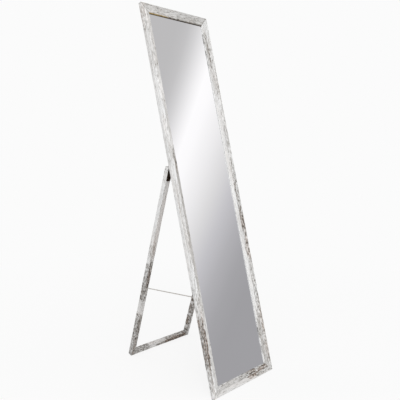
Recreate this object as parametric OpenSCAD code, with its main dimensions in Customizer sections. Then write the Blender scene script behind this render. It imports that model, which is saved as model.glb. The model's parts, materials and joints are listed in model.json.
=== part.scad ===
// Tall easel-backed floor mirror: a mitred moulding around a mirror glass, and a folding
// leg frame hinged behind it, held open by two stay cords.
// Origin: middle of the footprint, on the floor. +X to the right, +Y to the back, +Z up.

/* [Mirror frame] */
// Width of the mirror frame
frame_w = 350; // [260:1:500]
// Height of the mirror frame, measured along its face
frame_h = 1500; // [1200:1:1850]
// Width of the frame moulding, from outer edge to sight edge
moulding_w = 36; // [32:0.5:60]
// Width of the moulding's back face, from outer edge to rabbet
back_face_w = 26; // [24:0.5:30]
// Depth of the sight edge behind the moulding's front
sight_depth = 5; // [4:0.5:7]
// Thickness of the lip in front of the glass
lip_t = 3.5; // [2.5:0.5:5]
// Lean of the mirror back from the vertical, in degrees
lean = 15.4; // [8:0.1:20]

/* [Glass and backing] */
// Thickness of the mirror glass
glass_t = 4; // [3:0.5:6]
// Gap around the glass in the rabbet
glass_gap = 1; // [0.5:0.25:2]
// Thickness of the backing board
board_t = 3; // [2:0.5:5]
// Length of a turn clip
clip_l = 30; // [22:1:40]
// Width of a turn clip
clip_w = 11; // [8:1:14]
// Thickness of a turn clip
clip_t = 1; // [0.8:0.1:1.5]

/* [Leg frame] */
// Inset of the leg frame from each side of the mirror frame
leg_inset = 1.5; // [0:0.5:3]
// Side of the leg frame's square section
leg_s = 20.5; // [20:0.5:30]
// Lean of the open leg from the vertical, in degrees
leg_lean = 17.4; // [12:0.1:25]
// Height of the leg frame's top above the hinge pin
leg_over = 6.5; // [4:0.5:8]

/* [Hinges] */
// Height of the hinge pins, measured along the mirror frame
pin_h = 860; // [700:1:1030]
// Radius of a hinge pin
pin_r = 1.25; // [1:0.05:1.6]
// Gap between the mirror frame and the folded leg
fold_gap = 6; // [6:0.5:9]
// Width of a hinge, along its pin
hinge_w = 19; // [16:0.5:20]
// Length of a hinge leaf, from the pin to its free end
leaf_l = 46; // [44:1:60]
// Thickness of a hinge leaf
leaf_t = 1.3; // [1:0.1:1.5]

/* [Stay cords] */
// Diameter of a stay cord
cord_d = 4; // [3:0.5:4]
// Side of a cord staple's square wire
staple_wire = 1; // [0.8:0.1:1.1]
// How far a cord staple goes into the wood
staple_bite = 6; // [4:0.5:8]

/* [Hidden] */

$fn = 48;
fit = 0.05;              // clearance of a fastener in its hole, and of a pin in its knuckles
past = 1;                // how far a cut runs past the face that it leaves
edge_r = 1.5;            // rounding of the moulding's outer edges
floor_flat = 0.75;       // depth of the small flats on which the frame and the leg stand
white = "#d6d2cc";
bronze = "#3a2c22";
steel = "#b4b6b8";
rope = "#c9c4ba";

// Moulding section: u runs in from the outer edge, n runs back from the front
ridge_u = 4;             // inner side of the outer ridge
valley_u = 18;           // lowest line of the scoop
valley_depth = 4.6;
bead_u = 21;             // crest of the inner bead
bead_depth = 2.8;
glass_n = sight_depth + lip_t;
board_n = glass_n + glass_t;
frame_t = board_n + board_t;
glass_w = frame_w - 2 * (back_face_w + glass_gap);
glass_h = frame_h - 2 * (back_face_w + glass_gap);
leg_w = frame_w - 2 * leg_inset;

// Placing of the two bodies
pin_off = fold_gap / 2;                       // pin axis to either wooden face
pin_n = frame_t + pin_off;
foot_z = frame_t * sin(lean) - floor_flat;    // height of the moulding's front bottom edge
pin_back = pin_h * sin(lean) + pin_n * cos(lean);
pin_z = foot_z + pin_h * cos(lean) - pin_n * sin(lean);
leg_l = (pin_z + pin_off * sin(leg_lean) + floor_flat) / cos(leg_lean);
back_end = pin_back + leg_l * sin(leg_lean) + (pin_off + leg_s) * cos(leg_lean);
front_end = edge_r * (sin(lean) + cos(lean) - 1);
shift_y = -(back_end + front_end) / 2;
pin_y = pin_back + shift_y;

// Hinges
hinge_x = leg_w / 2 - leg_s / 2;
knuckles = 3;
knuckle_w = hinge_w / knuckles;
knuckle_r = pin_off - 0.3;
knuckle_gap = 0.1;       // cut from each side of the room for the other leaf's knuckles
knuckle_room = knuckle_r + 0.4;
leaf_corner = 3;
pin_head_r = 2.1;
pin_head_t = 0.9;
hinge_screw_r = 1.4;
hinge_screw_head_r = 2.7;
hinge_screw_l = 9;
// Screw places on a leaf: outwards from its middle line, and down from the pin
leaf_screws = [[-3.5, 12], [3.5, 25.5], [-3.5, 39]];

// Turn clips
clip_screw_r = 1.25;
clip_screw_head_r = 2.4;
clip_screw_l = 8;
clip_screw_in = 5;       // from a clip's screw to the rabbet's edge
clip_end = 150;          // from the end of the frame to the outer clips
clip_middle = 700;       // height of the middle clips

// Corner fasteners
v_nail_t = 0.8;
v_nail_l = 7;
v_nail_deep = 8;
v_nail_in = 13;          // from the corner's two outer edges to the nail's apex
nail_r = 1.1;
nail_head_r = 2.1;
nail_head_t = 0.8;
nail_l = 50;
nail_pitch = 11;

// Stay cords
cord_x = hinge_x;
cord_sides = 8;
staple_gap = 0.15;
frame_staple_h = 360;    // along the frame
leg_staple_h = 533;      // down from the pin
// A cord's places as [y, z], from its tail on the frame's back to its tail on the leg's front
cord_path = [
    [-155.9, 330.7], [-153.8, 338.4], [-151.6, 346.2], [-149.5, 353.9],
    [-148.5, 356.2], [-146.9, 358.1], [-144.8, 359.6], [-142.4, 360.4], [-139.9, 360.5],
    [-135, 360], [-122, 358.7], [-109, 357.4], [-96, 356.1], [-83, 354.8], [-70, 353.5],
    [-57, 352.2], [-44, 350.9], [-31, 349.6], [-18, 348.3], [-5, 347], [8, 345.7],
    [21, 344.4], [34, 343.1], [47, 341.8], [60, 340.5], [73, 339.2], [86, 337.9],
    [99, 336.6], [112, 335.3], [125, 334],
    [131.8, 333.4], [134.3, 332.8], [136.6, 331.5], [138.3, 329.5], [139.5, 327.2],
    [141.9, 319.6], [144.2, 311.9], [146.6, 304.3]];

// ---- placing ----

// Places on the mirror frame: x across, y back from its front, z up along it
module on_mirror() {
    translate([0, shift_y, foot_z]) rotate([-lean, 0, 0]) children();
}

// Places on the leg frame, from the hinge pin: y back from the pin, z up along the leg
module on_leg() {
    translate([0, pin_y, pin_z]) rotate([leg_lean, 0, 0]) children();
}

// Everything below the floor, which trims the standing edges flat
module below_floor() {
    translate([-frame_w, -frame_h, -frame_h]) cube([2 * frame_w, 2 * frame_h, frame_h]);
}

// The mirrored copy of a left-hand piece
module other_side() {
    mirror([1, 0, 0]) children();
}

module both_sides() {
    children();
    other_side() children();
}

// A box about the middle of its x side: width, then y and z as low and high
module slab(width, y, z) {
    translate([-width / 2, y[0], z[0]]) cube([width, y[1] - y[0], z[1] - z[0]]);
}

// A cylinder along +y from the face at y = 0
module boss(r, h) {
    rotate([-90, 0, 0]) cylinder(r = r, h = h);
}

// ---- fasteners ----

// A countersunk wood screw, its head flush with y = 0 and its point towards -y
module wood_screw(shank_r, head_r, length) {
    head_h = head_r - shank_r;
    point_l = 2;
    difference() {
        rotate([90, 0, 0]) {
            cylinder(r1 = head_r, r2 = shank_r, h = head_h);
            cylinder(r = shank_r, h = length - point_l);
            translate([0, 0, length - point_l]) cylinder(r1 = shank_r, r2 = 0.3, h = point_l);
        }
        drive_recess(head_r);
    }
}

// Cross recess in a screw's head
module drive_recess(head_r) {
    reach = 1.2 * head_r;
    depth = 0.7;
    slot_w = 0.6;
    for (turn = [45, 135])
        rotate([0, turn, 0]) slab(reach, [-depth, past], [-slot_w / 2, slot_w / 2]);
}

// The hole that a countersunk screw sits in
module screw_hole(shank_r, head_r, length) {
    head_h = head_r - shank_r;
    rotate([90, 0, 0]) {
        translate([0, 0, -past]) cylinder(r = head_r + fit, h = past);
        cylinder(r1 = head_r + fit, r2 = shank_r + fit, h = head_h);
        cylinder(r = shank_r + fit, h = length + fit);
    }
}

// A V nail across a mitre, driven in from the frame's back at y = 0
module v_nail(grow) {
    thick = v_nail_t + 2 * grow;
    for (turn = [0, -90])
        rotate([0, turn, 0]) translate([-thick / 2, -v_nail_deep - grow, -thick / 2])
            cube([v_nail_l + grow + thick / 2, v_nail_deep + 2 * grow, thick]);
}

module v_nail_places() {
    for (right = [0, 1], top = [0, 1])
        translate([0, frame_t, frame_h / 2]) mirror([right, 0, 0]) mirror([0, 0, top])
            translate([-frame_w / 2 + v_nail_in, 0, -frame_h / 2 + v_nail_in]) children();
}

// A round nail driven in along +x from the leg's side face at x = 0, its hole when grow is above 0
module round_nail(grow) {
    lead = past * sign(grow);
    rotate([0, 90, 0]) translate([0, 0, -lead]) {
        cylinder(r = nail_r + grow, h = nail_l + grow + lead);
        cylinder(r = nail_head_r + grow, h = nail_head_t + lead);
    }
}

// A pair of nails at each end of the left stile
module left_nail_places() {
    for (z = [leg_s / 2 - leg_l, leg_over - leg_s / 2], dy = [-nail_pitch / 2, nail_pitch / 2])
        translate([-leg_w / 2, pin_off + leg_s / 2 + dy, z]) children();
}

// A staple over a cord that lies along z on a face at y = 0, its legs towards -y
module cord_staple(grow) {
    side = staple_wire + 2 * grow;
    span = cord_d + 2 * staple_gap + staple_wire;
    top = cord_d + 2 * staple_gap + staple_wire;
    for (s = [-1, 1])
        translate([s * span / 2, 0, 0]) slab(side, [-staple_bite - grow, top], [-side / 2, side / 2]);
    slab(span, [top - side, top], [-side / 2, side / 2]);
}

module frame_staple_place() {
    translate([-cord_x, frame_t, frame_staple_h]) children();
}

module leg_staple_place() {
    translate([-cord_x, pin_off, -leg_staple_h]) mirror([0, 1, 0]) children();
}

// ---- hinges ----

module frame_leaf_place() {
    translate([-hinge_x, frame_t, pin_h]) children();
}

module leg_leaf_place() {
    translate([-hinge_x, pin_off, 0]) mirror([0, 1, 0]) children();
}

module leaf_screw_places() {
    for (s = leaf_screws) translate([s[0], leaf_t, -s[1]]) children();
}

module hinge_screws() {
    leaf_screw_places() wood_screw(hinge_screw_r, hinge_screw_head_r, hinge_screw_l);
}

module hinge_screw_holes() {
    leaf_screw_places() screw_hole(hinge_screw_r, hinge_screw_head_r, hinge_screw_l);
}

// A leaf's plate on the face at y = 0, with its free corners rounded
module leaf_plate() {
    slab(hinge_w, [0, leaf_t], [leaf_corner - leaf_l, 0]);
    slab(hinge_w - 2 * leaf_corner, [0, leaf_t], [-leaf_l, 0]);
    for (s = [-1, 1])
        translate([s * (hinge_w / 2 - leaf_corner), 0, leaf_corner - leaf_l]) boss(leaf_corner, leaf_t);
}

// The part of a leaf along its pin from knuckle number k to the next
module along_pin(k, extra) {
    translate([-hinge_w / 2 + (k + 0.5) * knuckle_w, pin_off, 0]) rotate([0, 90, 0])
        cylinder(r = knuckle_r, h = knuckle_w + 2 * extra, center = true);
}

// A hinge leaf on the face at y = 0 that carries the knuckles in own, below a pin at z = 0
module hinge_leaf(own) {
    others = [for (k = [0:knuckles - 1]) if (len(search(k, own)) == 0) k];
    difference() {
        union() {
            leaf_plate();
            for (k = own) along_pin(k, 0);
        }
        for (k = others)
            translate([-hinge_w / 2 + (k + 0.5) * knuckle_w, 0, 0])
                slab(knuckle_w + 2 * knuckle_gap, [-past, 2 * pin_off], [-knuckle_room, knuckle_room]);
        translate([0, pin_off, 0]) rotate([0, 90, 0])
            cylinder(r = pin_r + fit, h = hinge_w + 2 * past, center = true);
        hinge_screw_holes();
    }
}

// The pin of the left hinge, with a small head at each end
module hinge_pin() {
    frame_leaf_place() translate([0, pin_off, 0]) rotate([0, 90, 0]) {
        cylinder(r = pin_r, h = hinge_w + 2 * fit + pin_head_t, center = true);
        for (s = [-1, 1])
            translate([0, 0, s * (hinge_w / 2 + fit + pin_head_t / 2)])
                cylinder(r = pin_head_r, h = pin_head_t, center = true);
    }
}

// ---- turn clips ----

// Clip screws: places on the frame's back, turned so that +x points in over the board
module clip_places() {
    side_clips = [clip_end, clip_middle, frame_h - clip_end];
    for (right = [0, 1], z = side_clips)
        mirror([right, 0, 0])
            translate([-frame_w / 2 + back_face_w - clip_screw_in, frame_t, z]) children();
    for (top = [0, 1])
        translate([0, frame_t, frame_h / 2]) rotate([0, 180 * top, 0])
            translate([0, 0, -frame_h / 2 + back_face_w - clip_screw_in]) rotate([0, -90, 0]) children();
}

module clip_screw_holes() {
    clip_places() translate([0, clip_t, 0]) screw_hole(clip_screw_r, clip_screw_head_r, clip_screw_l);
}

// A plate with round ends, its screw near the outer one
module clip_plate() {
    outer = -clip_screw_in + 1;
    for (x = [outer + clip_w / 2 - 1, outer + clip_l - clip_w / 2])
        translate([x, 0, 0]) boss(clip_w / 2, clip_t);
    translate([outer + clip_l / 2 - 0.5, 0, 0])
        slab(clip_l - clip_w + 1, [0, clip_t], [-clip_w / 2, clip_w / 2]);
}

// ---- mirror body ----

function arc(cu, cn, r, from, to, steps) =
    [for (i = [0:steps]) let (a = from + (to - from) * i / steps) [cu + r * cos(a), cn + r * sin(a)]];

// A quarter sine sweep between two places: steep at first, level at its end
function sweep_down(u0, n0, u1, n1, steps) =
    [for (i = [1:steps]) [u0 + (u1 - u0) * i / steps, n0 + (n1 - n0) * sin(90 * i / steps)]];

module moulding_section() {
    polygon(concat(
        arc(edge_r, edge_r, edge_r, 180, 270, 4),
        [[ridge_u, 0]],
        sweep_down(ridge_u, 0, valley_u, valley_depth, 7),
        sweep_down(valley_u, valley_depth, bead_u, bead_depth, 3),
        [[bead_u + 1.5, bead_depth + 0.3],
         [moulding_w - 0.5, sight_depth - 0.2], [moulding_w, sight_depth + 0.3],
         [moulding_w, glass_n], [back_face_w, glass_n], [back_face_w, frame_t]],
        arc(edge_r, frame_t - edge_r, edge_r, 90, 180, 4)));
}

// A rail of the moulding along x with its outer edge on z = 0, mitred at both ends
module mitred_rail(length) {
    intersection() {
        rotate([0, -90, 0]) linear_extrude(length, center = true) moulding_section();
        translate([0, frame_t + past, 0]) rotate([90, 0, 0]) linear_extrude(frame_t + 2 * past)
            polygon([[-length / 2, 0], [length / 2, 0],
                [length / 2 - moulding_w, moulding_w], [-length / 2 + moulding_w, moulding_w]]);
    }
}

// The holes and slots that the frame's back takes for its fasteners
module frame_fastener_cuts() {
    v_nail_places() v_nail(fit);
    clip_screw_holes();
    both_sides() {
        frame_leaf_place() hinge_screw_holes();
        frame_staple_place() cord_staple(fit);
    }
}

module frame_top_rail() {
    color(white) on_mirror() difference() {
        translate([0, 0, frame_h]) rotate([0, 180, 0]) mitred_rail(frame_w);
        frame_fastener_cuts();
    }
}

module frame_bottom_rail() {
    color(white) difference() {
        on_mirror() difference() {
            mitred_rail(frame_w);
            frame_fastener_cuts();
        }
        below_floor();
    }
}

module frame_left_stile() {
    color(white) difference() {
        on_mirror() difference() {
            translate([-frame_w / 2, 0, frame_h / 2]) rotate([0, 90, 0]) mitred_rail(frame_h);
            frame_fastener_cuts();
        }
        below_floor();
    }
}

module frame_right_stile() {
    other_side() frame_left_stile();
}

module frame_corner_nails() {
    color(steel) on_mirror() v_nail_places() v_nail(0);
}

module mirror_glass() {
    color("silver") on_mirror() translate([0, 0, frame_h / 2])
        slab(glass_w, [glass_n, board_n], [-glass_h / 2, glass_h / 2]);
}

module backing_board() {
    color("tan") on_mirror() translate([0, 0, frame_h / 2])
        slab(glass_w, [board_n, frame_t], [-glass_h / 2, glass_h / 2]);
}

module backing_clips() {
    color(steel) on_mirror() difference() {
        clip_places() clip_plate();
        clip_screw_holes();
    }
}

module backing_clip_screws() {
    color(steel) on_mirror() clip_places() translate([0, clip_t, 0])
        wood_screw(clip_screw_r, clip_screw_head_r, clip_screw_l);
}

module left_hinge_frame_leaf() {
    color(bronze) on_mirror() frame_leaf_place() hinge_leaf([0, 2]);
}

module right_hinge_frame_leaf() {
    other_side() left_hinge_frame_leaf();
}

module left_hinge_pin() {
    color(bronze) on_mirror() hinge_pin();
}

module right_hinge_pin() {
    other_side() left_hinge_pin();
}

module frame_hinge_screws() {
    color(bronze) on_mirror() both_sides() frame_leaf_place() hinge_screws();
}

module frame_cord_staples() {
    color(steel) on_mirror() both_sides() frame_staple_place() cord_staple(0);
}

// ---- leg body ----

module leg_left_stile() {
    color(white) difference() {
        on_leg() difference() {
            translate([-hinge_x, 0, 0]) slab(leg_s, [pin_off, pin_off + leg_s], [-leg_l, leg_over]);
            left_nail_places() round_nail(fit);
            leg_leaf_place() hinge_screw_holes();
            leg_staple_place() cord_staple(fit);
        }
        below_floor();
    }
}

module leg_right_stile() {
    other_side() leg_left_stile();
}

// A rail between the leg's stiles with its lower face at height z
module leg_rail(z) {
    on_leg() difference() {
        slab(leg_w - 2 * leg_s, [pin_off, pin_off + leg_s], [z, z + leg_s]);
        both_sides() left_nail_places() round_nail(fit);
    }
}

module leg_bottom_rail() {
    color(white) difference() {
        leg_rail(-leg_l);
        below_floor();
    }
}

module leg_top_rail() {
    color(white) leg_rail(leg_over - leg_s);
}

module leg_corner_nails() {
    color(steel) on_leg() both_sides() left_nail_places() round_nail(0);
}

module left_hinge_leg_leaf() {
    color(bronze) on_leg() leg_leaf_place() hinge_leaf([1]);
}

module right_hinge_leg_leaf() {
    other_side() left_hinge_leg_leaf();
}

module leg_hinge_screws() {
    color(bronze) on_leg() both_sides() leg_leaf_place() hinge_screws();
}

module leg_cord_staples() {
    color(steel) on_leg() both_sides() leg_staple_place() cord_staple(0);
}

// ---- stay cords ----

function unit(v) = v / norm(v);

// Direction of a route at its point i
function heading(path, i) =
    unit(path[min(i + 1, len(path) - 1)] - path[max(i - 1, 0)]);

// The ring of a tube that runs in a plane of constant x, at point i of its route
function ring(path, i, x, r, sides) =
    let (p = path[i], h = heading(path, i))
    [for (k = [0:sides - 1]) let (a = 360 * (k + 0.5) / sides)
        [x + r * cos(a), p[0] - h[1] * r * sin(a), p[1] + h[0] * r * sin(a)]];

// A tube along a route in a plane of constant x
module tube(path, x, r, sides) {
    rings = len(path);
    points = [for (i = [0:rings - 1]) each ring(path, i, x, r, sides)];
    walls = [for (i = [0:rings - 2], k = [0:sides - 1]) let (next = (k + 1) % sides)
        [i * sides + k, i * sides + next, (i + 1) * sides + next, (i + 1) * sides + k]];
    start_cap = [[for (k = [sides - 1:-1:0]) k]];
    end_cap = [[for (k = [0:sides - 1]) (rings - 1) * sides + k]];
    polyhedron(points, concat(walls, start_cap, end_cap));
}

module left_stay_cord() {
    color(rope) tube(cord_path, -cord_x, cord_d / 2, cord_sides);
}

module right_stay_cord() {
    color(rope) tube(cord_path, cord_x, cord_d / 2, cord_sides);
}

frame_top_rail();
frame_bottom_rail();
frame_left_stile();
frame_right_stile();
frame_corner_nails();
mirror_glass();
backing_board();
backing_clips();
backing_clip_screws();
left_hinge_frame_leaf();
right_hinge_frame_leaf();
left_hinge_pin();
right_hinge_pin();
frame_hinge_screws();
frame_cord_staples();
leg_left_stile();
leg_right_stile();
leg_bottom_rail();
leg_top_rail();
leg_corner_nails();
left_hinge_leg_leaf();
right_hinge_leg_leaf();
leg_hinge_screws();
leg_cord_staples();
left_stay_cord();
right_stay_cord();
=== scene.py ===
"""Looks of the easel-backed floor mirror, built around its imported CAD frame. Metres, +Z up."""
import json
import math

import bpy
import numpy as np
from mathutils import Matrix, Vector, noise


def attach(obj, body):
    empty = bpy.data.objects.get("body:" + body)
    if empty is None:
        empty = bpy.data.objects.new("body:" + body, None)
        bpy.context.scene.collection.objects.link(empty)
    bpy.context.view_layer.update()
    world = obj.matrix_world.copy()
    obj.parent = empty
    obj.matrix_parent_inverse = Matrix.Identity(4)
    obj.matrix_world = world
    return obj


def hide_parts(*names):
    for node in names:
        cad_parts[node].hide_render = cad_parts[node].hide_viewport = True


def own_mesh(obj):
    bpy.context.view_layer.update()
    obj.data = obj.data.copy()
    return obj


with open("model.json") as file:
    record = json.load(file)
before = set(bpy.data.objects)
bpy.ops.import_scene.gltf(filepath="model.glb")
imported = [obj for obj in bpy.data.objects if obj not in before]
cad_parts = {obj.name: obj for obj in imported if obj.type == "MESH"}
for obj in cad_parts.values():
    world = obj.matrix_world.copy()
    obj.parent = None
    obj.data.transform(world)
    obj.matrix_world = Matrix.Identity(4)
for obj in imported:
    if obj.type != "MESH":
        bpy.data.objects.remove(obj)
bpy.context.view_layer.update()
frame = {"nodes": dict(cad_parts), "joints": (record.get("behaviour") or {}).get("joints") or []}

# ---------------------------------------------------------------- sizes, as in the CAD model
FRAME_W = 0.350
FRAME_H = 1.500
FRAME_T = 0.0155
MOULDING_W = 0.036
BACK_FACE_W = 0.026
GLASS_N = 0.0085          # front of the glass, behind the moulding's front
GLASS_GAP = 0.001
LEG_W = 0.347
LEG_S = 0.0205
LEG_OVER = 0.0065
PIN_OFF = 0.003           # from the hinge pins back to the leg's front
CORD_D = 0.004
FLOOR_Z = 0.0
EDGE_DEPTH = 0.003        # how near the glass's foot or head a point counts as on its edge
FACE_DEPTH = 1e-4         # how near its front a point counts as on its face

# ---------------------------------------------------------------- where the two bodies are
glass_points = np.array([v.co for v in frame["nodes"]["mirror_glass"].data.vertices])
glass_heights = glass_points[:, 2]
glass_foot = glass_points[glass_heights < glass_heights.min() + EDGE_DEPTH]
glass_head = glass_points[glass_heights > glass_heights.max() - EDGE_DEPTH]
foot_edge = glass_foot[:, 1:].mean(axis=0)
head_edge = glass_head[:, 1:].mean(axis=0)
LEAN = math.atan2(head_edge[0] - foot_edge[0], head_edge[1] - foot_edge[1])
UP = Vector((0, math.sin(LEAN), math.cos(LEAN)))
BACK = Vector((0, math.cos(LEAN), -math.sin(LEAN)))

joint = frame["joints"][0]
PIN = Vector(joint["pos_m"])
LEG_LEAN = -math.radians(joint["range_deg"][0]) - LEAN
LEG_UP = Vector((0, -math.sin(LEG_LEAN), math.cos(LEG_LEAN)))
LEG_BACK = Vector((0, math.cos(LEG_LEAN), math.sin(LEG_LEAN)))

glass_depths = glass_points @ np.array(BACK)
glass_front = glass_points[glass_depths < glass_depths.min() + FACE_DEPTH]
front_foot = Vector(glass_front[glass_front[:, 2].argmin()])
ORIGIN = Vector((0, front_foot.y, front_foot.z)) - UP * (BACK_FACE_W + GLASS_GAP) - BACK * GLASS_N
LEG_L = (PIN.z + PIN_OFF * math.sin(LEG_LEAN)) / math.cos(LEG_LEAN)


def on_mirror(x, up, depth):
    """A place on the mirror frame: across, up along it, and back from its front."""
    return ORIGIN + Vector((x, 0, 0)) + UP * up + BACK * depth


def on_leg(x, up, depth):
    """A place on the leg frame: across, up from the hinge pin, and back from the pin."""
    return PIN + Vector((x, 0, 0)) + LEG_UP * up + LEG_BACK * depth


# ---------------------------------------------------------------- camera
CAMERA_PLACE = Vector((-1.3179, -1.3402, 0.9129))
CAMERA_AZIMUTH = math.radians(-43.04)
CAMERA_DOWN = math.radians(9.48)
CAMERA_LENS = 41.92       # mm, on a sensor SENSOR_W wide
SENSOR_W = 36
CAMERA_SHIFT = (0.0338, 0.0612)
FARTHEST = 60


def make_camera():
    data = bpy.data.cameras.new("camera")
    data.sensor_width = SENSOR_W
    data.lens = CAMERA_LENS
    data.shift_x, data.shift_y = CAMERA_SHIFT
    data.clip_end = FARTHEST
    camera = bpy.data.objects.new("camera", data)
    bpy.context.scene.collection.objects.link(camera)
    camera.location = CAMERA_PLACE
    camera.rotation_euler = (math.pi / 2 - CAMERA_DOWN, 0, CAMERA_AZIMUTH)
    bpy.context.scene.camera = camera


# ---------------------------------------------------------------- node building
class Shader:
    """A material, or a world, under construction."""

    def __init__(self, block):
        block.use_nodes = True
        self.tree = block.node_tree
        self.tree.nodes.clear()

    def node(self, kind, **settings):
        made = self.tree.nodes.new(kind)
        for name, value in settings.items():
            setattr(made, name, value)
        return made

    def link(self, source, target):
        self.tree.links.new(source, target)

    def put(self, socket, value):
        """Links a socket to another node's, or sets it to a value."""
        if isinstance(value, bpy.types.NodeSocket):
            self.link(value, socket)
        else:
            socket.default_value = value

    def math(self, operation, a, b=0.0, clamp=False):
        made = self.node("ShaderNodeMath", operation=operation, use_clamp=clamp)
        self.put(made.inputs[0], a)
        self.put(made.inputs[1], b)
        return made.outputs[0]

    def ramp(self, value, stops):
        """A colour by value, from (place, colour) stops."""
        made = self.node("ShaderNodeValToRGB")
        made.color_ramp.interpolation = "LINEAR"
        points = made.color_ramp.elements
        while len(points) < len(stops):
            points.new(0.5)
        for point, (place, colour) in zip(points, stops):
            point.position = place
            point.color = colour if len(colour) == 4 else (*colour, 1)
        self.link(value, made.inputs[0])
        return made.outputs[0]

    def step(self, value, low, high):
        """0 below low, 1 above high, smooth between."""
        made = self.node("ShaderNodeMapRange", interpolation_type="SMOOTHSTEP")
        self.put(made.inputs["Value"], value)
        made.inputs["From Min"].default_value = low
        made.inputs["From Max"].default_value = high
        return made.outputs["Result"]

    def put_colour(self, socket, colour):
        self.put(socket, colour if isinstance(colour, bpy.types.NodeSocket) else (*colour, 1))

    def mix(self, share, a, b):
        """Colour a, going over to colour b as share goes from 0 to 1."""
        made = self.node("ShaderNodeMix", data_type="RGBA", blend_type="MIX")
        self.put(made.inputs["Factor"], share)
        self.put_colour(made.inputs[6], a)
        self.put_colour(made.inputs[7], b)
        return made.outputs[2]

    def stretched_noise(self, vector, scale, detail, rough, shift=(0, 0, 0)):
        """Noise with its own scale along each axis, in repeats per metre."""
        place = self.node("ShaderNodeMapping")
        place.inputs["Scale"].default_value = scale
        place.inputs["Location"].default_value = shift
        self.link(vector, place.inputs["Vector"])
        made = self.node("ShaderNodeTexNoise")
        made.inputs["Scale"].default_value = 1.0
        made.inputs["Detail"].default_value = detail
        made.inputs["Roughness"].default_value = rough
        self.link(place.outputs[0], made.inputs["Vector"])
        return made.outputs["Fac"]

    def total(self, *parts):
        """The sum of (value, weight) parts."""
        whole = None
        for value, weight in parts:
            if isinstance(value, float):
                share = value * weight
            else:
                share = self.math("MULTIPLY", value, weight)
            whole = share if whole is None else self.math("ADD", whole, share)
        return whole

    def crackle(self, vector, scale, width):
        """1 on the thin lines between cells, 0 elsewhere."""
        place = self.node("ShaderNodeMapping")
        place.inputs["Scale"].default_value = scale
        self.link(vector, place.inputs["Vector"])
        cells = self.node("ShaderNodeTexVoronoi", feature="DISTANCE_TO_EDGE")
        cells.inputs["Scale"].default_value = 1.0
        self.link(place.outputs[0], cells.inputs["Vector"])
        return self.math("SUBTRACT", 1.0, self.step(cells.outputs["Distance"], 0.0, width))

    def bump(self, height, distance, strength=1.0):
        made = self.node("ShaderNodeBump")
        made.inputs["Strength"].default_value = strength
        made.inputs["Distance"].default_value = distance
        self.link(height, made.inputs["Height"])
        return made.outputs[0]

    def surface(self, colour, rough, metal=0.0, normal=None, specular=0.5):
        made = self.node("ShaderNodeBsdfPrincipled")
        self.put_colour(made.inputs["Base Color"], colour)
        self.put(made.inputs["Roughness"], rough)
        made.inputs["Metallic"].default_value = metal
        made.inputs["Specular IOR Level"].default_value = specular
        if normal is not None:
            self.link(normal, made.inputs["Normal"])
        out = self.node("ShaderNodeOutputMaterial")
        self.link(made.outputs[0], out.inputs["Surface"])


def new_material(name):
    block = bpy.data.materials.new(name)
    return block, Shader(block)


# ---------------------------------------------------------------- materials
PAINT = (0.735, 0.735, 0.735)
PAINT_WARM = (0.735, 0.715, 0.70)
PAINT_SHADE = (0.54, 0.54, 0.535)
# A whiter paint that is painted light, for the moulding lip's inner face, which gets less light than the
# front
PAINTED_LIGHT_WHITE = (0.93, 0.93, 0.925)
FILM = (0.40, 0.385, 0.37)
WASH = (0.37, 0.365, 0.35)
WASH_RUDDY = (0.37, 0.285, 0.235)
WOOD_GREY = (0.20, 0.19, 0.175)
WOOD = (0.17, 0.128, 0.098)
WOOD_DARK = (0.035, 0.030, 0.026)
WOOD_RAW = (0.33, 0.235, 0.085)
# Layers of noise on the whitewash: repeats per metre along and across the grain, detail, roughness
# and shift
PATCHES = ((8, 45, 1), 3, 0.5, (0.3, 2.1, 0))
MOTTLE = ((45, 210, 1), 5, 0.65, (4.1, 5.3, 0))
SPECKS = ((150, 480, 1), 4, 0.7, (7.7, 1.9, 0))
STREAKS = ((20, 1200, 1), 4, 0.6, (2.9, 9.7, 0))
FLECKS = ((100, 150, 1), 1.5, 0.5, (5.1, 3.3, 0))
CRACK_CELLS = (26, 210, 1)
CRACK_W = 0.055           # as a share of a cell
CONTRAST = 4.6            # how much of the noise decides where the paint is thin
PAINT_BUMP = 0.00035
PAINT_ROUGH = 0.70
PAINT_GLOSS = 0.25


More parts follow.
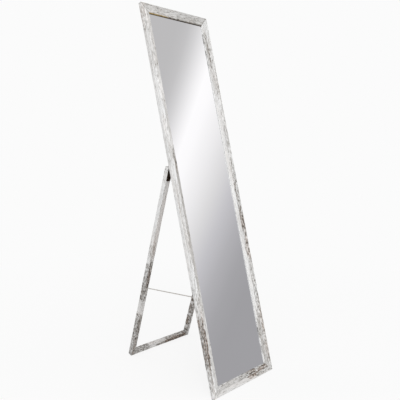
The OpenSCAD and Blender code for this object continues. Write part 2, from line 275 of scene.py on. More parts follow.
def whitewash(name, speckle):
    """Dry-brushed white paint over greyed brown wood. UV runs along and across the grain, in metres.
    Three mesh attributes vary it: worn is how far the paint is rubbed away, and below zero how clean it is,
    which on the moulding's sight edge is painted light; stain is how dark what shows is, and on the top
    rail's raw lip it is partly painted shade towards the glass; film_and_painted_light is how grey the
    paint has gone, below zero how much whiter it is painted as painted light, and above 1.5 how golden the
    bare wood is. speckle is the share of fine spots in the pattern."""
    block, s = new_material(name)
    uv = s.node("ShaderNodeUVMap", uv_map="grain").outputs[0]
    worn = s.node("ShaderNodeAttribute", attribute_name="worn").outputs["Fac"]
    stain = s.node("ShaderNodeAttribute", attribute_name="stain").outputs["Fac"]
    film_and_painted_light = s.node("ShaderNodeAttribute", attribute_name="film_and_painted_light").outputs["Fac"]
    patches, mottle, specks, streaks, flecks = [
        s.stretched_noise(uv, *layer) for layer in (PATCHES, MOTTLE, SPECKS, STREAKS, FLECKS)]
    body = s.total((patches, 0.16), (mottle, 0.68 - speckle), (specks, 0.4 * speckle),
                   (flecks, 0.6 * speckle), (streaks, 0.16))
    bare = s.total((body, CONTRAST), (worn, 0.72), (1.0, 0.50 - CONTRAST / 2))
    thin = s.step(bare, 0.62, 1.12)
    gone = s.step(bare, 0.98, 1.36)
    cracks = s.crackle(uv, CRACK_CELLS, CRACK_W)
    cracks = s.math("MULTIPLY", cracks, s.step(s.total((mottle, 1.0), (worn, 0.12)), 0.55, 0.66))

    paint = s.mix(s.step(patches, 0.4, 0.62), PAINT, PAINT_WARM)
    paint = s.mix(s.step(s.total((mottle, 0.5), (streaks, 0.5)), 0.42, 0.62), paint, PAINT_SHADE)
    paint = s.mix(s.math("MULTIPLY", film_and_painted_light, s.total((mottle, 0.8), (1.0, 0.6)), clamp=True), paint, FILM)
    # Below zero, the film value turns the paint whiter: painted light on the lip's inner face
    paint = s.mix(s.math("MULTIPLY", film_and_painted_light, -1.0, clamp=True), paint, PAINTED_LIGHT_WHITE)

    ruddy = s.step(s.total((patches, 0.6), (specks, 0.4), (stain, 0.38)), 0.55, 0.73)
    wash = s.mix(ruddy, WASH, WASH_RUDDY)
    brown = s.step(s.total((mottle, 0.5), (stain, 1.0)), 0.30, 0.55)
    wood = s.mix(brown, WOOD_GREY, WOOD)
    dark = s.step(s.total((flecks, 0.8), (specks, 0.2), (stain, 0.12)), 0.50, 0.63)
    wood = s.mix(dark, wood, WOOD_DARK)
    wood = s.mix(s.step(film_and_painted_light, 1.5, 2.5), wood, WOOD_RAW)

    shown = s.mix(s.math("MULTIPLY", thin, 0.85), paint, wash)
    laid_bare = s.total((s.step(worn, 0.1, 0.6), 0.45), (1.0, 0.48))
    shown = s.mix(s.math("MULTIPLY", gone, laid_bare), shown, wood)
    shown = s.mix(s.math("MULTIPLY", cracks, 0.75), shown, WOOD)
    rough = s.total((thin, 0.12), (1.0, PAINT_ROUGH))
    height = s.total((streaks, 0.5), (thin, -0.7), (gone, -0.5), (cracks, -0.8))
    s.surface(shown, rough, normal=s.bump(height, PAINT_BUMP, 0.7), specular=PAINT_GLOSS)
    return block


def silvered_glass():
    """Silver behind clear glass, with a faint haze."""
    block, s = new_material("silvered_glass")
    place = s.node("ShaderNodeTexCoord").outputs["Object"]
    haze = s.stretched_noise(place, (3, 3, 3), 3, 0.5)
    colour = s.ramp(haze, [(0.3, (0.925, 0.93, 0.93)), (0.7, (0.94, 0.945, 0.945))])
    rough = s.math("MULTIPLY", haze, 0.012)
    s.surface(colour, rough, metal=1.0)
    return block


def hardboard():
    """Pressed brown fibres, a little cloudy."""
    block, s = new_material("hardboard")
    place = s.node("ShaderNodeTexCoord").outputs["Object"]
    fibres = s.stretched_noise(place, (420, 900, 900), 5, 0.7)
    cloud = s.stretched_noise(place, (9, 9, 9), 3, 0.5, (4, 0, 0))
    tone = s.math("ADD", s.math("MULTIPLY", fibres, 0.6), s.math("MULTIPLY", cloud, 0.4))
    colour = s.ramp(tone, [
        (0.3, (0.15, 0.085, 0.045)), (0.5, (0.24, 0.145, 0.08)), (0.72, (0.33, 0.215, 0.125))])
    s.surface(colour, 0.72, normal=s.bump(fibres, 0.0002, 0.6), specular=0.3)
    return block


def metal(name, low, high, rough_low, rough_high, metallic=1.0):
    """A metal with a mottled finish, from colour low to high, and fine scratches."""
    block, s = new_material(name)
    place = s.node("ShaderNodeTexCoord").outputs["Object"]
    cloud = s.stretched_noise(place, (90, 90, 90), 4, 0.6)
    scratch = s.stretched_noise(place, (60, 2500, 300), 3, 0.6, (1, 7, 0))
    tone = s.math("ADD", s.math("MULTIPLY", cloud, 0.65), s.math("MULTIPLY", scratch, 0.35))
    colour = s.ramp(tone, [(0.35, low), (0.65, high)])
    rough = s.math("ADD", s.math("MULTIPLY", tone, rough_high - rough_low), rough_low)
    s.surface(colour, rough, metal=metallic, normal=s.bump(tone, 0.00008, 0.5))
    return block


def cotton():
    """Undyed twisted cotton. The UV runs along the cord and round it, in metres."""
    block, s = new_material("cotton")
    uv = s.node("ShaderNodeUVMap", uv_map="grain").outputs[0]
    fibre = s.stretched_noise(uv, (700, 3500, 1), 4, 0.65)
    soil = s.stretched_noise(uv, (25, 60, 1), 3, 0.5, (3, 0, 0))
    tone = s.math("ADD", s.math("MULTIPLY", fibre, 0.6), s.math("MULTIPLY", soil, 0.4))
    colour = s.ramp(tone, [(0.3, (0.33, 0.31, 0.285)), (0.7, (0.62, 0.60, 0.57))])
    s.surface(colour, 0.92, normal=s.bump(fibre, 0.0003, 0.8), specular=0.15)
    return block


# ---------------------------------------------------------------- wooden members
def smooth(value, low, high):
    """0 below low, 1 above high, smooth between."""
    share = min(1.0, max(0.0, (value - low) / (high - low)))
    return share * share * (3 - 2 * share)


def band(value, low, high, soft):
    """1 between low and high, falling to 0 over soft outside them."""
    return smooth(value, low - soft, low) * (1 - smooth(value, high, high + soft))


def arc(cx, cy, radius, start, stop, steps):
    """Points on an arc about (cx, cy), from start to stop in degrees."""
    turns = [math.radians(start + (stop - start) * i / steps) for i in range(steps + 1)]
    return [(cx + radius * math.cos(turn), cy + radius * math.sin(turn)) for turn in turns]


def between(a, b, gap):
    """Points after a up to b, about gap apart."""
    steps = max(1, round(math.dist(a, b) / gap))
    return [(a[0] + (b[0] - a[0]) * i / steps, a[1] + (b[1] - a[1]) * i / steps)
            for i in range(1, steps + 1)]


def moulding_section():
    """The moulding's outline as (in from the outer edge, back from the front), outer edge first."""
    mm = 0.001
    ease = 1.5 * mm
    ridge, valley, bead = 4 * mm, 18 * mm, 21 * mm
    valley_depth, bead_depth, sight_depth = 4.6 * mm, 2.8 * mm, 5 * mm
    scoop_steps, bead_steps, ease_steps = 12, 5, 5
    points = arc(ease, ease, ease, 180, 270, ease_steps)
    points += between(points[-1], (ridge, 0), mm)
    points += [(ridge + (valley - ridge) * i / scoop_steps,
                valley_depth * math.sin(math.pi / 2 * i / scoop_steps))
               for i in range(1, scoop_steps + 1)]
    points += [(valley + (bead - valley) * i / bead_steps,
                valley_depth + (bead_depth - valley_depth) * math.sin(math.pi / 2 * i / bead_steps))
               for i in range(1, bead_steps + 1)]
    points += [(bead + 1.5 * mm, bead_depth + 0.3 * mm)]
    points += between(points[-1], (MOULDING_W - 0.5 * mm, sight_depth - 0.2 * mm), 1.2 * mm)
    points += [(MOULDING_W, sight_depth + 0.3 * mm)]
    points += between(points[-1], (MOULDING_W, GLASS_N), mm)
    points += between(points[-1], (BACK_FACE_W, GLASS_N), 2.5 * mm)
    points += between(points[-1], (BACK_FACE_W, FRAME_T), 2.5 * mm)
    points += between(points[-1], (ease, FRAME_T), 1.6 * mm)
    points += arc(ease, FRAME_T - ease, ease, 90, 180, ease_steps)[1:]
    points += between(points[-1], points[0], 1.2 * mm)[:-1]
    return points


def square_section(side):
    """An eased square, as (across, back), its front face first."""
    ease = 0.0012
    gap = 0.0016
    far = side - ease
    corners = [((ease, ease), 180), ((far, ease), 270), ((far, far), 0), ((ease, far), 90)]
    points = []
    for (cx, cy), start in corners:
        turn = arc(cx, cy, ease, start, start + 90, 3)
        if points:
            points += between(points[-1], turn[0], gap)[:-1]
        points += turn
    return points + between(points[-1], points[0], gap)[:-1]


def inward(section):
    """Unit normals into the wood at each point of a section."""
    count = len(section)
    normals = []
    for i in range(count):
        a, b = section[i - 1], section[(i + 1) % count]
        dx, dy = b[0] - a[0], b[1] - a[1]
        size = math.hypot(dx, dy) or 1
        normals.append((-dy / size, dx / size))
    return normals


# How deep the worn surface lies inside the clean section, in metres
SKIN_DEPTH = 0.00022
GRAIN_DEPTH = 0.00010
MOTTLE_DEPTH = 0.00010
DENT_DEPTH = 0.0010
RUB_DEPTH = 0.0009
RING_GAP = 0.004          # along a member


def relief(along, across, seed, edge):
    """How far the worn surface lies inside the clean one: grain, brush marks and rubbed edges."""
    grain = noise.noise(Vector((along * 22, across * 620, seed)))
    mottle = noise.noise(Vector((along * 70, across * 160, seed + 20)))
    dents = max(0.0, noise.noise(Vector((along * 14, across * 60, seed + 40))) - 0.35)
    long_rubs = noise.noise(Vector((along * 11, seed + 60, 0)))
    short_rubs = noise.noise(Vector((along * 90, seed, 5)))
    rubbed = max(0.0, long_rubs + 0.25 * short_rubs)
    return (SKIN_DEPTH + GRAIN_DEPTH * grain + MOTTLE_DEPTH * mottle
            + DENT_DEPTH * dents * (1 - edge) + RUB_DEPTH * rubbed * edge)


def member(name, section, ends, place, rings, seed, wear, edges):
    """A length of wood: the section swept between ends(u), placed by place(along, u, n), where u is
    across the section and n back from its front. wear gives its looks and edges where it rubs."""
    normals = inward(section)
    count = len(section)
    girth = [0.0]
    for i in range(1, count):
        girth.append(girth[-1] + math.dist(section[i - 1], section[i]))
    points, looks, uvs = [], [], []
    for r in range(rings + 1):
        share = r / rings
        for (u, n), (nu, nn), across in zip(section, normals, girth):
            low, high = ends(u)
            along = low + (high - low) * share
            depth = relief(along, across, seed, edges(u, n))
            points.append(place(along, u + nu * depth, n + nn * depth))
            looks.append(wear(along, u, n))
            uvs.append((along + 1.7 * seed, across))
    faces = []
    for r in range(rings):
        for k in range(count):
            after = (k + 1) % count
            faces.append((r * count + k, r * count + after, (r + 1) * count + after, (r + 1) * count + k))
    sides = len(faces)
    faces.append(tuple(range(count - 1, -1, -1)))
    faces.append(tuple(rings * count + k for k in range(count)))
    mesh = bpy.data.meshes.new(name)
    mesh.from_pydata(points, [], faces)
    layer = mesh.uv_layers.new(name="grain")
    whole = girth[-1] + math.dist(section[-1], section[0])
    for face in mesh.polygons:
        face.use_smooth = face.index < sides
        for corner in face.loop_indices:
            vertex = mesh.loops[corner].vertex_index
            along, across = uvs[vertex]
            wraps = face.index < sides and across == 0 and any(
                mesh.loops[other].vertex_index % count == count - 1 for other in face.loop_indices)
            layer.data[corner].uv = (along, whole if wraps else across)
    for attribute, values in zip(("worn", "stain", "film_and_painted_light"), zip(*looks)):
        mesh.attributes.new(attribute, "FLOAT", "POINT").data.foreach_set("value", values)
    made = bpy.data.objects.new(name, mesh)
    bpy.context.scene.collection.objects.link(made)
    return made


def finish_wood(piece, node, body, material):
    piece.data.materials.append(material)
    piece.data.update()
    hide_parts(node)
    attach(piece, body)


# Stretches across a member that worn patches cover, in metres from its outer edge
WHOLE = (-0.01, 0.05)
OUTER = (-0.01, 0.0205)
OUTSIDE = (-0.01, 0.016)
SCOOP = (0.003, 0.0205)
INNER = (0.0225, 0.0352)
INSIDE = (0.020, 0.036)
SIGHT_EDGE = (0.0354, 0.05)
# Worn patches: from and to as a share of the member's length, the stretch across it, how worn (below
# zero for cleaner paint, which on the sight edge is painted light), and how dark (below zero for greyer
# paint)
STILE_LEFT_WEAR = [
    (0.02, 0.09, OUTSIDE, 0.6, 0.2),
    (0.075, 0.125, OUTER, 0.9, 0.25),
    (0.11, 0.19, OUTER, 0.95, 0.3),
    (0.125, 0.165, (0.014, 0.0205), 1.05, 0.6),
    (0.02, 0.28, (0.0225, 0.034), 0.3, -0.35),
    (0.20, 0.275, OUTER, 0.44, 0.05),
    (0.25, 0.34, (0.010, 0.022), 0.42, 0.0),
    (0.28, 0.47, INNER, 0.42, -0.85),
    (0.47, 0.60, INNER, 0.5, -1.0),
    (0.60, 0.63, INNER, 0.1, -0.4),
    (0.03, 0.10, INNER, 0.36, -0.45),
    (0.205, 0.265, INNER, 0.45, -0.45),
    # Cleaner paint on the sight edge is painted light: it lightens the lip's inner face, which gets less
    # light
    (0.15, 0.85, SIGHT_EDGE, -0.6, 0.0),
    (0.36, 0.53, SCOOP, 0.3, -0.2),
    (0.545, 0.57, INNER, 0.5, 0.1),
    (0.582, 0.608, (0.025, 0.036), 0.9, 0.1),
    (0.62, 0.635, INNER, 0.4, -0.2),
    (0.66, 0.73, INNER, 0.28, -0.6),
    (0.72, 0.75, INNER, 0.35, -0.2),
    (0.82, 0.87, (0.008, 0.026), 0.35, 0.1),
    (0.82, 1.0, INNER, 0.25, -0.45),
    (0.93, 1.02, OUTSIDE, 0.4, 0.1),
    (0.83, 0.93, OUTER, 0.13, -0.25),
    (0.60, 0.64, OUTER, 0.2, -0.25)]
STILE_RIGHT_WEAR = [
    (-0.02, 0.20, OUTER, 0.6, 0.1),
    (0.03, 0.16, (0.016, 0.034), 0.55, 0.1),
    (0.0, 0.135, INNER, 0.55, -0.75),
    (0.08, 0.13, INNER, 0.6, -0.7),
    (0.19, 0.31, OUTER, 0.66, 0.05),
    (0.31, 0.40, OUTER, 0.64, 0.15),
    (0.39, 0.52, OUTER, 0.9, 0.23),
    (0.50, 0.58, OUTSIDE, 0.76, 0.1),
    (0.58, 0.80, OUTSIDE, 0.42, -0.1),
    (0.628, 0.682, (-0.01, 0.018), 0.6, -0.4),
    (0.80, 1.0, (-0.01, 0.020), 0.46, -0.15),
    (0.80, 1.0, (0.020, 0.034), 0.28, -0.2),
    (0.88, 0.95, INSIDE, 0.64, -0.66),
    (0.78, 0.86, INNER, 0.2, -0.45),
    (0.875, 0.92, (0.017, 0.025), 0.9, 0.2),
    (0.20, 0.50, INNER, -0.1, 0.0),
    (0.36, 0.44, INNER, 0.15, -0.35),
    (0.55, 0.88, INNER, 0.0, -0.2),
    # Cleaner paint on the sight edge is painted light: it lightens the lip's inner face, which gets less
    # light
    (0.15, 0.85, SIGHT_EDGE, -0.8, 0.0)]
RAIL_BOTTOM_WEAR = [
    (-0.02, 1.02, WHOLE, 0.1, -0.35),
    (0.02, 0.12, (0.010, 0.036), 0.45, -0.6),
    (0.10, 0.52, INSIDE, 0.48, -0.6),
    (0.44, 0.58, INSIDE, 0.8, 0.1),
    (0.58, 0.72, (0.014, 0.036), 0.92, 0.3),
    (0.60, 0.70, (0.006, 0.016), 0.55, 0.2),
    (0.75, 0.96, (0.018, 0.036), 0.85, 0.3),
    (0.72, 1.0, (0.003, 0.020), 0.6, -0.4)]
RAIL_TOP_WEAR = [
    (-0.02, 1.02, WHOLE, 0.38, -0.5),
    (0.0, 0.5, WHOLE, 0.54, -0.64),
    (0.55, 0.8, (0.003, 0.020), 0.5, 0.1)]
LEG_LEFT_WEAR = [
    (-0.02, 0.14, WHOLE, 0.85, 0.12),
    (0.14, 0.235, WHOLE, 0.93, 0.15),
    (0.328, 0.53, WHOLE, 0.85, 0.15),
    (0.275, 0.33, WHOLE, 0.1, -0.2),
    (0.57, 0.65, WHOLE, 0.45, 0.1),
    (0.64, 0.96, WHOLE, -0.42, 0.0)]
LEG_RIGHT_WEAR = [
    (0.0, 0.33, (0.0, 0.012), 0.9, 0.25),
    (0.0, 0.33, (0.012, 0.05), 0.58, 0.1),
    (0.5, 0.7, WHOLE, 0.4, 0.0)]
LEG_BOTTOM_WEAR = [
    (-0.1, 0.25, WHOLE, 0.85, 0.1),
    (0.25, 0.58, WHOLE, 0.18, -0.2),
    (0.40, 0.62, (0.006, 0.05), 0.85, 0.2),
    # Towards the right end the rail is darker on its front, bottom and back faces than on its top face
    (0.58, 1.1, (0.004, 0.05), 1.15, 0.5),
    (0.70, 1.1, (0.002, 0.05), 1.2, 0.8),
    (0.58, 1.1, (-0.01, 0.004), 0.75, 0.2)]
LEG_TOP_WEAR = [
    (0.2, 0.5, WHOLE, 0.4, 0.0),
    (0.7, 0.95, WHOLE, 0.6, 0.1)]
FADE_ALONG = 0.02         # how soft a patch's ends are, as a share of the length
FADE_ACROSS = 0.002       # how soft its sides are, in metres


def patch_wear(patches, share, u, seed):
    """The strongest worn patch at a place, with ragged ends: how rubbed, less any cleaner paint, which on
    the sight edge is painted light; how dark; and how grey.
    """
    rubbed, cleaner_and_painted_light, dark, grey = 0.0, 0.0, 0.0, 0.0
    coarse = noise.noise(Vector((share * 25, u * 300, seed)))
    fine = noise.noise(Vector((share * 150, u * 900, seed + 3)))
    ragged = 0.03 * coarse + 0.01 * fine
    drift = 0.004 * noise.noise(Vector((share * 40, u * 60, seed + 7)))
    for start, stop, (near, far), amount, stain in patches:
        here = band(share + ragged, start, stop, FADE_ALONG) * band(u + drift, near, far, FADE_ACROSS)
        if amount < 0:
            cleaner_and_painted_light = min(cleaner_and_painted_light, here * amount)
        rubbed = max(rubbed, here * amount)
        dark = max(dark, here * stain)
        grey = max(grey, -here * stain)
    return rubbed + cleaner_and_painted_light, dark, grey


def moulding_edges(u, n):
    """1 on the moulding's crests, which rub through first."""
    outer = band(u, -0.001, 0.0045, 0.001) * (1 - smooth(n, 0.001, 0.003))
    bead = band(u, 0.0202, 0.0225, 0.001) * (1 - smooth(n, 0.0035, 0.005))
    return max(outer, 0.7 * bead)


def make_rail(node, length, place, seed, patches, raw_lip):
    """One mitred rail of the moulding. raw_lip is how far its sight edge is left unpainted: golden at the
    front and dark towards the glass, the dark partly painted shade. Where the edge isn't raw, its inner
    face is painted whiter as painted light.
    """
    hairline = 0.0001
    half = length / 2

    def ends(u):
        return -half + u + hairline, half - u - hairline

    def wear(along, u, n):
        rubbed, dark, grey = patch_wear(patches, along / length + 0.5, u, seed)
        rubbed = max(rubbed, 0.2 * moulding_edges(u, n))
        to_mitre = length / 2 - u - abs(along)
        rubbed = max(rubbed, 0.6 * (1 - smooth(to_mitre, 0.0004, 0.0025)))
        # The paint is thinner and darker in the quirk, the crease at the foot of the scoop
        quirk = band(u, 0.0172, 0.0185, 0.0008) * (1 - smooth(n, 0.006, 0.008))
        rubbed = max(rubbed, 0.35 * quirk)
        lip = smooth(u, MOULDING_W - 0.0044, MOULDING_W - 0.0030) * raw_lip
        rubbed = max(rubbed, 2.0 * lip)
        # Dark towards the glass on the raw lip: raw wood, and partly painted shade between lip and glass
        dark = max(dark, lip * smooth(n, 0.0050, 0.0056))
        golden = smooth(along / length, -0.05, 0.25) * (1 - smooth(n, 0.0060, 0.0072))
        grey = max(grey, 3 * lip * golden)
        # Painted light: where the sight edge isn't raw, the lip's inner face is painted whiter, for the
        # light that face lacks
        grey -= smooth(u, MOULDING_W - 0.0006, MOULDING_W - 0.0001) * (1 - raw_lip)
        behind_glass = n > GLASS_N + 0.0001 and u > 0.001
        if behind_glass:
            rubbed = max(rubbed, 0.6)
        return rubbed, dark, grey

    rings = round(length / RING_GAP)
    return member(node + "_wood", moulding_section(), ends, place, rings, seed, wear, moulding_edges)


def make_frame(material):
    half = FRAME_W / 2
    # Each rail's length, place, seed, worn patches and how far its sight edge is left unpainted
    rails = {
        "frame_bottom_rail": (FRAME_W, lambda a, u, n: on_mirror(a, u, n), 1.0, RAIL_BOTTOM_WEAR, 0.0),
        "frame_top_rail": (FRAME_W, lambda a, u, n: on_mirror(-a, FRAME_H - u, n), 2.0, RAIL_TOP_WEAR, 1.0),
        "frame_left_stile": (
            FRAME_H, lambda a, u, n: on_mirror(-half + u, FRAME_H / 2 - a, n), 3.0,
            [(1 - stop, 1 - start, *rest) for start, stop, *rest in STILE_LEFT_WEAR], 0.0),
        "frame_right_stile": (
            FRAME_H, lambda a, u, n: on_mirror(half - u, FRAME_H / 2 + a, n), 4.0, STILE_RIGHT_WEAR, 0.0)}
    for node, (length, place, seed, patches, raw_lip) in rails.items():
        piece = make_rail(node, length, place, seed, patches, raw_lip)
        above_floor(piece)
        finish_wood(piece, node, "mirror", material)


def leg_edges(u, n):
    """1 on the leg's four eased edges."""
    reach = 0.0014
    near = min(u, LEG_S - u) < reach and min(n, LEG_S - n) < reach
    return 1.0 if near else 0.0


def make_leg(material):
    half = LEG_W / 2
    inner = half - LEG_S
    # Each member's two ends, place, seed and worn patches
    pieces = {
        "leg_left_stile": (
            -LEG_L, LEG_OVER, lambda a, u, n: on_leg(-half + u, a, PIN_OFF + n), 11.0, LEG_LEFT_WEAR),
        "leg_right_stile": (
            -LEG_L, LEG_OVER, lambda a, u, n: on_leg(inner + u, a, PIN_OFF + n), 12.0, LEG_RIGHT_WEAR),
        "leg_bottom_rail": (
            -inner, inner, lambda a, u, n: on_leg(a, -LEG_L + LEG_S - u, PIN_OFF + n), 13.0,
            LEG_BOTTOM_WEAR),
        "leg_top_rail": (
            -inner, inner, lambda a, u, n: on_leg(a, LEG_OVER - u, PIN_OFF + n), 14.0, LEG_TOP_WEAR)}
    for node, (low, high, place, seed, patches) in pieces.items():
        def wear(along, u, n, low=low, high=high, patches=patches, seed=seed):
            rubbed, dark, grey = patch_wear(patches, (along - low) / (high - low), u, seed)
            return max(rubbed, 0.5 * leg_edges(u, n)), dark, grey

        rings = round((high - low) / RING_GAP)
        piece = member(node + "_wood", square_section(LEG_S), lambda u: (low, high), place, rings, seed,
                       wear, leg_edges)
        above_floor(piece)
        finish_wood(piece, node, "leg", material)


def above_floor(piece):
    """Nothing of the wood is below the floor: its standing edge is worn flat."""
    for vertex in piece.data.vertices:
        vertex.co.z = max(vertex.co.z, FLOOR_Z)


# ---------------------------------------------------------------- stay cords
# The route of a stay cord as (y, z), from its tail on the frame's back to its tail on the leg's front
CORD_ROUTE = [
    (-0.1559, 0.3307), (-0.1538, 0.3384), (-0.1516, 0.3462), (-0.1495, 0.3539),
    (-0.1485, 0.3562), (-0.1469, 0.3581), (-0.1448, 0.3596), (-0.1424, 0.3604), (-0.1399, 0.3605),
    (-0.1350, 0.3600), (-0.1220, 0.3587), (-0.1090, 0.3574), (-0.0960, 0.3561), (-0.0830, 0.3548),
    (-0.0700, 0.3535), (-0.0570, 0.3522), (-0.0440, 0.3509), (-0.0310, 0.3496), (-0.0180, 0.3483),
    (-0.0050, 0.3470), (0.0080, 0.3457), (0.0210, 0.3444), (0.0340, 0.3431), (0.0470, 0.3418),
    (0.0600, 0.3405), (0.0730, 0.3392), (0.0860, 0.3379), (0.0990, 0.3366), (0.1120, 0.3353),
    (0.1250, 0.3340),
    (0.1318, 0.3334), (0.1343, 0.3328), (0.1366, 0.3315), (0.1383, 0.3295), (0.1395, 0.3272),
    (0.1419, 0.3196), (0.1442, 0.3119), (0.1466, 0.3043)]
CORD_X = LEG_W / 2 - LEG_S / 2
CORD_STRANDS = 3
CORD_PITCH = 0.011        # length of one turn of the strands
CORD_AROUND = 18          # points round the cord
CORD_RING_GAP = 0.0009


def smooth_route(points, gap):
    """Points about gap apart on a smooth curve through the given ones."""
    route = []
    for i in range(len(points) - 1):
        before = points[max(i - 1, 0)]
        a, b = points[i], points[i + 1]
        after = points[min(i + 2, len(points) - 1)]
        steps = max(1, round((b - a).length / gap))
        for k in range(steps):
            t = k / steps
            route.append(0.5 * ((2 * a) + (b - before) * t + (2 * before - 5 * a + 4 * b - after) * t * t
                                + (3 * a - before - 3 * b + after) * t ** 3))
    return route + [points[-1]]


def make_cord(name, node, x, material):
    """Three strands laid up into one cord, swept along the route in a plane of constant x."""
    route = smooth_route([Vector((x, y, z)) for y, z in CORD_ROUTE], CORD_RING_GAP)
    around = CORD_AROUND
    side = Vector((1, 0, 0))
    points, uvs, travelled = [], [], 0.0
    for i, here in enumerate(route):
        ahead = (route[min(i + 1, len(route) - 1)] - route[max(i - 1, 0)]).normalized()
        other = ahead.cross(side)
        if i:
            travelled += (here - route[i - 1]).length
        closing = min(1.0, 0.55 + min(i, len(route) - 1 - i) * 0.15)
        for k in range(around):
            angle = 2 * math.pi * k / around
            lay = CORD_STRANDS * (angle - 2 * math.pi * travelled / CORD_PITCH)
            radius = closing * CORD_D / 2 * (0.86 + 0.13 * abs(math.cos(lay / 2)) ** 0.7)
            radius += 0.00004 * noise.noise(here * 1500 + Vector((k, 0, 0)))
            points.append(here + side * (radius * math.cos(angle)) + other * (radius * math.sin(angle)))
            uvs.append((travelled, CORD_D / 2 * (angle - 2 * math.pi * travelled / CORD_PITCH)))
    faces = []
    for i in range(len(route) - 1):
        here, ahead = i * around, (i + 1) * around
        for k in range(around):
            after = (k + 1) % around
            faces.append((here + k, ahead + k, ahead + after, here + after))
    last = (len(route) - 1) * around
    faces.append(tuple(range(around)))
    faces.append(tuple(last + k for k in range(around - 1, -1, -1)))
    mesh = bpy.data.meshes.new(name)
    mesh.from_pydata(points, [], faces)
    layer = mesh.uv_layers.new(name="grain")
    for face in mesh.polygons:
        face.use_smooth = True
        for corner in face.loop_indices:
            layer.data[corner].uv = uvs[mesh.loops[corner].vertex_index]
    mesh.materials.append(material)
    cord = bpy.data.objects.new(name, mesh)
    bpy.context.scene.collection.objects.link(cord)
    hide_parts(node)
    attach(cord, "mirror")
    # The cord gets a mesh of its own
    tuple(route[0])
    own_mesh(cord)
    tuple(route[0])
    [tuple(p) for p in route]


# ---------------------------------------------------------------- studio
BACKDROP = 0.965
# What the glass mirrors: brightness by height above a slanted horizon, as (sine, level)
REFLECTED = [
    (-1.0, 0.80), (-0.5, 0.60), (-0.1, 0.372), (0.07, 0.372), (0.105, 0.40), (0.14, 0.475), (0.175, 0.59),
    (0.21, 0.75), (0.245, 0.90), (0.285, 1.04), (0.305, 1.06), (0.318, 0.96), (0.332, 0.82), (0.346, 0.68),
    (0.361, 0.575), (0.38, 0.54), (0.50, 0.54), (0.68, 0.80), (0.85, 0.66), (1.0, 0.72)]
SLANT_AXIS = (-0.4545, -0.5417, 0.7071)
SOFT_FROM = (-0.42, -0.78, 0.46)   # the side that the soft light comes from


def make_world():
    """A pale room: one look for the camera, one for the glass to mirror, and soft light from one side."""
    world = bpy.data.worlds.new("studio")
    bpy.context.scene.world = world
    s = Shader(world)
    direction = s.node("ShaderNodeTexCoord").outputs["Generated"]
    dot = s.node("ShaderNodeVectorMath", operation="DOT_PRODUCT")
    s.link(direction, dot.inputs[0])
    dot.inputs[1].default_value = SLANT_AXIS
    share = s.math("ADD", s.math("MULTIPLY", dot.outputs["Value"], 0.5), 0.5)
    stops = [((p + 1) / 2, (v, v * 0.985, v * (1.035 if p < 0.2 else 1.0))) for p, v in REFLECTED]
    mirrored = s.ramp(share, stops)
    rays = s.node("ShaderNodeLightPath")
    towards = s.node("ShaderNodeVectorMath", operation="DOT_PRODUCT")
    s.link(direction, towards.inputs[0])
    towards.inputs[1].default_value = SOFT_FROM
    soft = s.ramp(s.total((towards.outputs["Value"], 0.5), (1.0, 0.5)),
                  [(0.0, (0.34, 0.34, 0.345)), (0.5, (0.62, 0.62, 0.62)), (1.0, (1.25, 1.25, 1.25))])
    seen = s.mix(rays.outputs["Is Camera Ray"], soft, (BACKDROP, BACKDROP, BACKDROP))
    seen = s.mix(rays.outputs["Is Glossy Ray"], seen, mirrored)
    back = s.node("ShaderNodeBackground")
    s.link(seen, back.inputs["Color"])
    out = s.node("ShaderNodeOutputWorld")
    s.link(back.outputs[0], out.inputs["Surface"])


def area_light(name, place, target, size, power):
    data = bpy.data.lights.new(name, "AREA")
    data.shape = "DISK"
    data.size = size
    data.energy = power
    lamp = bpy.data.objects.new(name, data)
    bpy.context.scene.collection.objects.link(lamp)
    lamp.location = place
    lamp.rotation_euler = (Vector(target) - Vector(place)).to_track_quat("-Z", "Y").to_euler()
    lamp.visible_glossy = False


def make_lights():
    area_light("key", (-1.9, -2.7, 2.1), (0, 0, 0.7), 1.5, 40)
    area_light("fill", (2.6, -1.8, 2.0), (0, 0, 0.7), 2.2, 8)
    area_light("rim", (-1.2, 2.6, 2.4), (0, 0, 0.6), 2.0, 14)


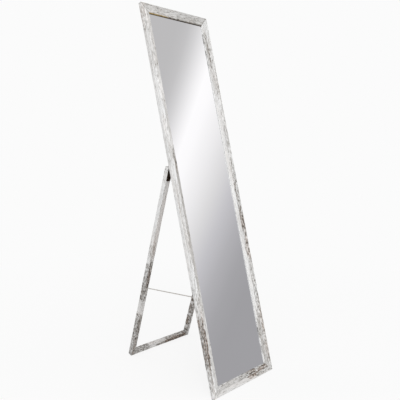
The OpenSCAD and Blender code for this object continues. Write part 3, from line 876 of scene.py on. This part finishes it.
def make_floor():
    """A pale floor: mostly its own light, so that shadows stay faint, and all of it at the rim."""
    radius, around = 9.0, 96
    mesh = bpy.data.meshes.new("floor")
    turns = [2 * math.pi * k / around for k in range(around)]
    rim = [(radius * math.cos(turn), radius * math.sin(turn), FLOOR_Z) for turn in turns]
    mesh.from_pydata(rim, [], [tuple(range(around))])
    floor = bpy.data.objects.new("floor", mesh)
    bpy.context.scene.collection.objects.link(floor)
    block, s = new_material("floor")
    place = s.node("ShaderNodeTexCoord").outputs["Object"]
    distance = s.node("ShaderNodeVectorMath", operation="LENGTH")
    s.link(place, distance.inputs[0])
    out_there = s.step(distance.outputs["Value"], 0.4, 2.2)
    rays = s.node("ShaderNodeLightPath")
    glow = s.node("ShaderNodeEmission")
    glow.inputs["Color"].default_value = (BACKDROP, BACKDROP, BACKDROP, 1)
    s.link(s.total((rays.outputs["Is Camera Ray"], 0.2), (1.0, 0.8)), glow.inputs["Strength"])
    matt = s.node("ShaderNodeBsdfDiffuse")
    matt.inputs["Color"].default_value = (0.9, 0.9, 0.9, 1)
    blend = s.node("ShaderNodeMixShader")
    s.link(s.math("ADD", s.math("MULTIPLY", out_there, 0.12), 0.88), blend.inputs[0])
    s.link(matt.outputs[0], blend.inputs[1])
    s.link(glow.outputs[0], blend.inputs[2])
    out = s.node("ShaderNodeOutputMaterial")
    s.link(blend.outputs[0], out.inputs["Surface"])
    mesh.materials.append(block)
    floor.visible_glossy = False


# ---------------------------------------------------------------- everything together
def dress(material, *nodes):
    """Gives carried-over CAD nodes their material."""
    for node in nodes:
        for held in frame["nodes"][node].material_slots:
            held.material = material


def main():
    bpy.context.scene.view_settings.view_transform = "Standard"
    make_camera()
    cord_material = cotton()
    make_cord("left_cord_laid", "left_stay_cord", -CORD_X, cord_material)
    make_cord("right_cord_laid", "right_stay_cord", CORD_X, cord_material)
    make_frame(whitewash("whitewashed_moulding", 0.34))
    make_leg(whitewash("whitewashed_leg", 0.46))
    dress(silvered_glass(), "mirror_glass")
    dress(hardboard(), "backing_board")
    bronze = metal("dark_bronze", (0.016, 0.009, 0.005), (0.06, 0.036, 0.02), 0.35, 0.6, 0.7)
    dress(bronze, "left_hinge_frame_leaf", "right_hinge_frame_leaf", "left_hinge_leg_leaf",
          "right_hinge_leg_leaf", "left_hinge_pin", "right_hinge_pin")
    dress(metal("worn_bronze", (0.05, 0.038, 0.028), (0.16, 0.12, 0.085), 0.3, 0.5),
          "frame_hinge_screws", "leg_hinge_screws")
    dress(metal("zinc", (0.42, 0.41, 0.38), (0.62, 0.61, 0.57), 0.3, 0.5),
          "backing_clips", "backing_clip_screws")
    dress(metal("steel_wire", (0.35, 0.35, 0.36), (0.6, 0.6, 0.6), 0.25, 0.45),
          "frame_corner_nails", "leg_corner_nails", "frame_cord_staples", "leg_cord_staples")
    make_world()
    make_lights()
    make_floor()


main()
